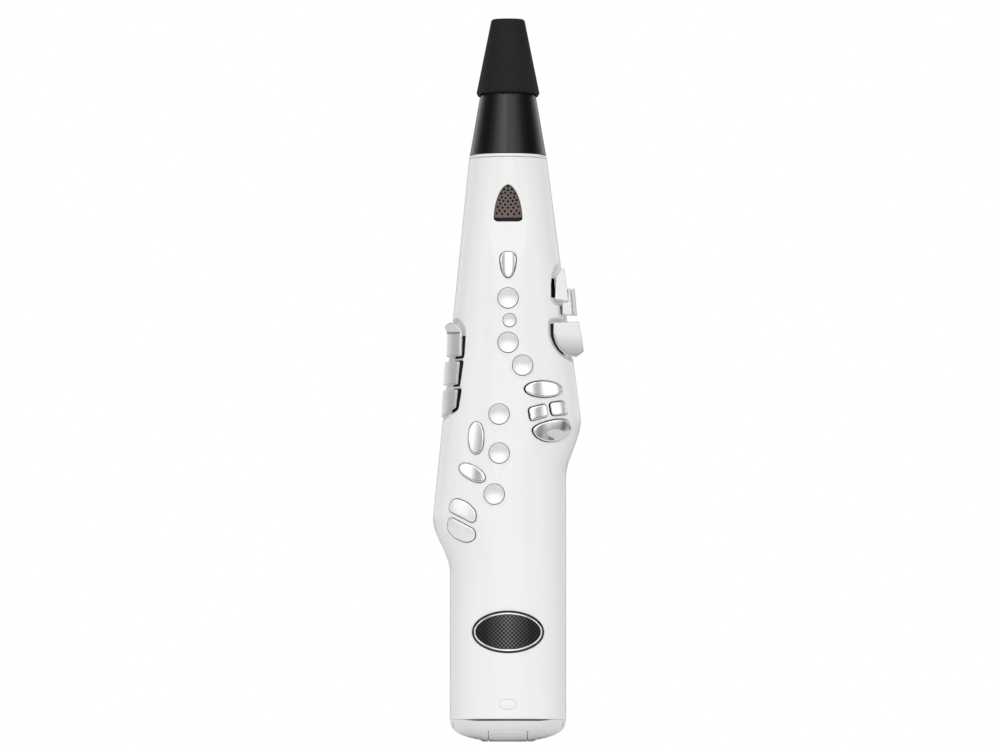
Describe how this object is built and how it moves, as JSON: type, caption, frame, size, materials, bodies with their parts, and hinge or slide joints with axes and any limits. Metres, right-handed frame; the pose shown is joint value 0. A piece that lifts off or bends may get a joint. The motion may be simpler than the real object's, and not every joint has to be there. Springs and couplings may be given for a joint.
{
  "type": "digital wind controller",
  "caption": "Straight saxophone-style electronic wind controller with round, table, palm and side keys, a capped mouthpiece and a strap ring.",
  "frame": {"origin": "centre of the strap lug's eye on the back", "axes": "+Z along the body towards the mouthpiece, -Y towards the key side, +X to the right as the keys are seen"},
  "size_m": [0.1057, 0.0844, 0.506],
  "materials": {
    "white_plastic": "satin moulded white",
    "cap_black": "fine-grained matte black",
    "gloss_black": "polished black",
    "mouthpiece_black": "satin black",
    "pearl": "silvery pearl lacquer",
    "chrome": "polished chrome",
    "grille_metal": "perforated, brown grey",
    "badge_mesh": "fine black mesh",
    "display_glass": "smoked window",
    "rubber": "matte rubber",
    "inner_plastic": "matte black plastic",
    "board_green": "solder resist",
    "steel": "brushed steel",
    "cell_wrap": "shrink wrap"
  },
  "bodies": {
    "casing": {"front_shell": "white_plastic", "back_shell": "white_plastic", "end_cap": "white_plastic", "collar_ring": "white_plastic", "neck": "gloss_black", "mouthpiece": "mouthpiece_black", "badge_rim": "chrome", "strap_lug": "chrome", "grille": "grille_metal", "badge_field": "badge_mesh", "display_window": "display_glass", "thumb_rest": "rubber", "thumb_hook": "rubber", "air_tube": "rubber", "speaker": "inner_plastic", "breath_sensor": "inner_plastic", "battery_sleeve": "inner_plastic", "key_board": "board_green", "main_board": "board_green", "dial_encoder": "steel", "usb_socket": "steel", "phones_socket": "steel", "shell_screw_1": "steel", "shell_screw_2": "steel", "shell_screw_3": "steel", "shell_screw_4": "steel", "door_pin": "steel", "battery_cell": "cell_wrap"},
    "key_l1": {"key_l1": "pearl"},
    "key_bis": {"key_bis": "pearl"},
    "key_l2": {"key_l2": "pearl"},
    "key_l3": {"key_l3": "pearl"},
    "key_r1": {"key_r1": "pearl"},
    "key_r2": {"key_r2": "pearl"},
    "key_r3": {"key_r3": "pearl"},
    "key_front_f": {"key_front_f": "pearl"},
    "key_e_flat": {"key_e_flat": "pearl"},
    "key_low_c": {"key_low_c": "pearl"},
    "key_trill_upper": {"key_trill_upper": "chrome"},
    "key_trill_lower": {"key_trill_lower": "chrome"},
    "key_g_sharp": {"key_g_sharp": "chrome"},
    "key_c_sharp": {"key_c_sharp": "chrome"},
    "key_b": {"key_b": "chrome"},
    "key_b_flat": {"key_b_flat": "chrome"},
    "key_side_1": {"key_side_1": "chrome"},
    "key_side_2": {"key_side_2": "chrome"},
    "key_side_3": {"key_side_3": "chrome"},
    "key_palm_1": {"key_palm_1": "chrome"},
    "key_palm_2": {"key_palm_2": "chrome"},
    "key_palm_3": {"key_palm_3": "chrome"},
    "octave_key_up": {"octave_key_up": "chrome"},
    "octave_key_down": {"octave_key_down": "chrome"},
    "power_button": {"power_button": "white_plastic"},
    "mouthpiece_cap": {"mouthpiece_cap": "cap_black"},
    "battery_door": {"battery_door": "white_plastic"},
    "strap_ring": {"strap_ring": "steel"},
    "select_dial": {"select_dial": "rubber"}
  },
  "joints": [
    {"name": "key_l1_press", "type": "slide", "parent": "casing", "child": "key_l1", "axis": [0, 1, 0], "range_m": [0, 0.0016], "stiffness_N_per_m": 300},
    {"name": "key_bis_press", "type": "slide", "parent": "casing", "child": "key_bis", "axis": [0, 1, 0], "range_m": [0, 0.0016], "stiffness_N_per_m": 300},
    {"name": "key_l2_press", "type": "slide", "parent": "casing", "child": "key_l2", "axis": [0, 1, 0], "range_m": [0, 0.0016], "stiffness_N_per_m": 300},
    {"name": "key_l3_press", "type": "slide", "parent": "casing", "child": "key_l3", "axis": [0, 1, 0], "range_m": [0, 0.0016], "stiffness_N_per_m": 300},
    {"name": "key_r1_press", "type": "slide", "parent": "casing", "child": "key_r1", "axis": [0, 1, 0], "range_m": [0, 0.0016], "stiffness_N_per_m": 300},
    {"name": "key_r2_press", "type": "slide", "parent": "casing", "child": "key_r2", "axis": [0, 1, 0], "range_m": [0, 0.0016], "stiffness_N_per_m": 300},
    {"name": "key_r3_press", "type": "slide", "parent": "casing", "child": "key_r3", "axis": [0, 1, 0], "range_m": [0, 0.0016], "stiffness_N_per_m": 300},
    {"name": "key_front_f_press", "type": "slide", "parent": "casing", "child": "key_front_f", "axis": [0, 1, 0], "range_m": [0, 0.0016], "stiffness_N_per_m": 300},
    {"name": "key_e_flat_press", "type": "slide", "parent": "casing", "child": "key_e_flat", "axis": [0, 1, 0], "range_m": [0, 0.0016], "stiffness_N_per_m": 300},
    {"name": "key_low_c_press", "type": "slide", "parent": "casing", "child": "key_low_c", "axis": [0, 1, 0], "range_m": [0, 0.0016], "stiffness_N_per_m": 300},
    {"name": "key_trill_upper_press", "type": "slide", "parent": "casing", "child": "key_trill_upper", "axis": [0, 1, 0], "range_m": [0, 0.0016], "stiffness_N_per_m": 300},
    {"name": "key_trill_lower_press", "type": "slide", "parent": "casing", "child": "key_trill_lower", "axis": [0, 1, 0], "range_m": [0, 0.0016], "stiffness_N_per_m": 300},
    {"name": "key_g_sharp_press", "type": "slide", "parent": "casing", "child": "key_g_sharp", "axis": [0, 1, 0], "range_m": [0, 0.0016], "stiffness_N_per_m": 300},
    {"name": "key_c_sharp_press", "type": "slide", "parent": "casing", "child": "key_c_sharp", "axis": [0, 1, 0], "range_m": [0, 0.0016], "stiffness_N_per_m": 300},
    {"name": "key_b_press", "type": "slide", "parent": "casing", "child": "key_b", "axis": [0, 1, 0], "range_m": [0, 0.0016], "stiffness_N_per_m": 300},
    {"name": "key_b_flat_press", "type": "slide", "parent": "casing", "child": "key_b_flat", "axis": [0, 1, 0], "range_m": [0, 0.0016], "stiffness_N_per_m": 300},
    {"name": "key_side_1_press", "type": "slide", "parent": "casing", "child": "key_side_1", "axis": [0.8192, 0.5736, 0], "range_m": [0, 0.0016], "stiffness_N_per_m": 300},
    {"name": "key_side_2_press", "type": "slide", "parent": "casing", "child": "key_side_2", "axis": [0.8192, 0.5736, 0], "range_m": [0, 0.0016], "stiffness_N_per_m": 300},
    {"name": "key_side_3_press", "type": "slide", "parent": "casing", "child": "key_side_3", "axis": [0.8192, 0.5736, 0], "range_m": [0, 0.0016], "stiffness_N_per_m": 300},
    {"name": "key_palm_1_press", "type": "slide", "parent": "casing", "child": "key_palm_1", "axis": [-0.6428, 0.766, 0], "range_m": [0, 0.0016], "stiffness_N_per_m": 300},
    {"name": "key_palm_2_press", "type": "slide", "parent": "casing", "child": "key_palm_2", "axis": [-0.6428, 0.766, 0], "range_m": [0, 0.0016], "stiffness_N_per_m": 300},
    {"name": "key_palm_3_press", "type": "slide", "parent": "casing", "child": "key_palm_3", "axis": [-0.6428, 0.766, 0], "range_m": [0, 0.0016], "stiffness_N_per_m": 300},
    {"name": "octave_key_up_press", "type": "slide", "parent": "casing", "child": "octave_key_up", "axis": [0, -1, 0], "range_m": [0, 0.0016], "stiffness_N_per_m": 300},
    {"name": "octave_key_down_press", "type": "slide", "parent": "casing", "child": "octave_key_down", "axis": [0, -1, 0], "range_m": [0, 0.0016], "stiffness_N_per_m": 300},
    {"name": "power_button_press", "type": "slide", "parent": "casing", "child": "power_button", "axis": [0, 1, 0], "range_m": [0, 0.001], "stiffness_N_per_m": 300},
    {"name": "cap_pull", "type": "slide", "parent": "casing", "child": "mouthpiece_cap", "axis": [0, 0, 1], "range_m": [0, 0.055]},
    {"name": "battery_door_hinge", "type": "hinge", "parent": "casing", "child": "battery_door", "pos_m": [0, -0.0295, -0.2229], "axis": [1, 0, 0], "range_deg": [0, 95]},
    {"name": "strap_ring_swing", "type": "hinge", "parent": "casing", "child": "strap_ring", "pos_m": [0, 0, -0.001], "axis": [1, 0, 0], "range_deg": [-20, 165]},
    {"name": "dial_turn", "type": "hinge", "parent": "casing", "child": "select_dial", "pos_m": [0, -0.0095, 0.125], "axis": [0, 1, 0], "continuous": true}
  ]
}
